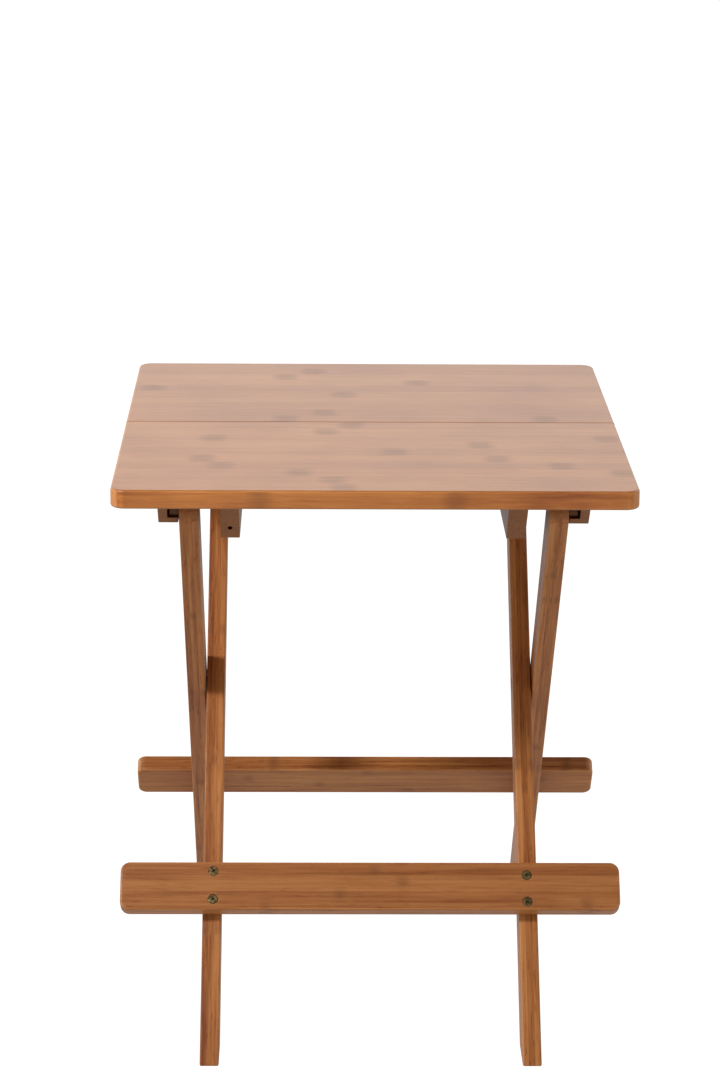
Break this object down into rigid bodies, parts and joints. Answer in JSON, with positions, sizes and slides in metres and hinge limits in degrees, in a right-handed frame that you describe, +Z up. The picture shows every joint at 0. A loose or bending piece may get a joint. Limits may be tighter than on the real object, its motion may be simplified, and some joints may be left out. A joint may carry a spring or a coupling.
{
  "type": "folding side table",
  "caption": "Small bamboo side table: a flat two-board top on two crossing leg frames joined by flat stretchers, which fold together like scissors.",
  "frame": {"origin": "on the floor, under the middle of the top", "axes": "+Z up; -Y is the front, where the inner frame's feet and its stretcher are; +X is to the right seen from the front"},
  "size_m": [0.42, 0.466, 0.4907],
  "materials": {
    "bamboo_top": "satin lacquer on carbonized bamboo, grain along X",
    "bamboo_frames": "satin lacquer on carbonized bamboo, grain along each bar",
    "bamboo_battens": "satin lacquer on carbonized bamboo, grain along Y",
    "dowel_wood": "plain turned hardwood",
    "antique_brass": "dull antique brass plating",
    "zinc_steel": "zinc plated"
  },
  "bodies": {
    "inner_frame": {"inner_leg_left": "bamboo_frames", "inner_leg_right": "bamboo_frames", "front_stretcher": "bamboo_frames", "front_stretcher_screw_1": "antique_brass", "front_stretcher_screw_2": "antique_brass", "front_stretcher_screw_3": "antique_brass", "front_stretcher_screw_4": "antique_brass", "cross_pivot_left_bolt": "antique_brass", "cross_pivot_left_sleeve_nut": "antique_brass", "cross_pivot_left_washer": "zinc_steel", "cross_pivot_right_bolt": "antique_brass", "cross_pivot_right_sleeve_nut": "antique_brass", "cross_pivot_right_washer": "zinc_steel"},
    "outer_frame": {"outer_leg_left": "bamboo_frames", "outer_leg_right": "bamboo_frames", "rear_stretcher": "bamboo_frames", "rear_stretcher_screw_1": "antique_brass", "rear_stretcher_screw_2": "antique_brass", "rear_stretcher_screw_3": "antique_brass", "rear_stretcher_screw_4": "antique_brass", "slide_pin_left": "dowel_wood", "slide_pin_right": "dowel_wood"},
    "top": {"top_board_front": "bamboo_top", "top_board_rear": "bamboo_top", "inner_batten_left": "bamboo_battens", "inner_batten_right": "bamboo_battens", "outer_batten_left": "bamboo_battens", "outer_batten_right": "bamboo_battens", "inner_batten_screw_left_1": "zinc_steel", "inner_batten_screw_left_2": "zinc_steel", "inner_batten_screw_left_3": "zinc_steel", "inner_batten_screw_left_4": "zinc_steel", "outer_batten_screw_left_1": "zinc_steel", "outer_batten_screw_left_2": "zinc_steel", "outer_batten_screw_left_3": "zinc_steel", "outer_batten_screw_left_4": "zinc_steel", "top_hinge_left_bolt": "antique_brass", "top_hinge_left_sleeve_nut": "antique_brass", "top_hinge_left_washer": "zinc_steel", "inner_batten_screw_right_1": "zinc_steel", "inner_batten_screw_right_2": "zinc_steel", "inner_batten_screw_right_3": "zinc_steel", "inner_batten_screw_right_4": "zinc_steel", "outer_batten_screw_right_1": "zinc_steel", "outer_batten_screw_right_2": "zinc_steel", "outer_batten_screw_right_3": "zinc_steel", "outer_batten_screw_right_4": "zinc_steel", "top_hinge_right_bolt": "antique_brass", "top_hinge_right_sleeve_nut": "antique_brass", "top_hinge_right_washer": "zinc_steel"}
  },
  "joints": [
    {"name": "leg_fold", "type": "hinge", "parent": "inner_frame", "child": "outer_frame", "pos_m": [0, 0, 0.2554], "axis": [-1, 0, 0], "range_deg": [0, 77.4]},
    {"name": "top_hinge", "type": "hinge", "parent": "inner_frame", "child": "top", "pos_m": [0, 0.16517, 0.4572], "axis": [-1, 0, 0], "range_deg": [0, 38.7]}
  ],
  "couplings": [
    {"joint": "top_hinge", "follows": "leg_fold", "ratio": 0.5}
  ]
}
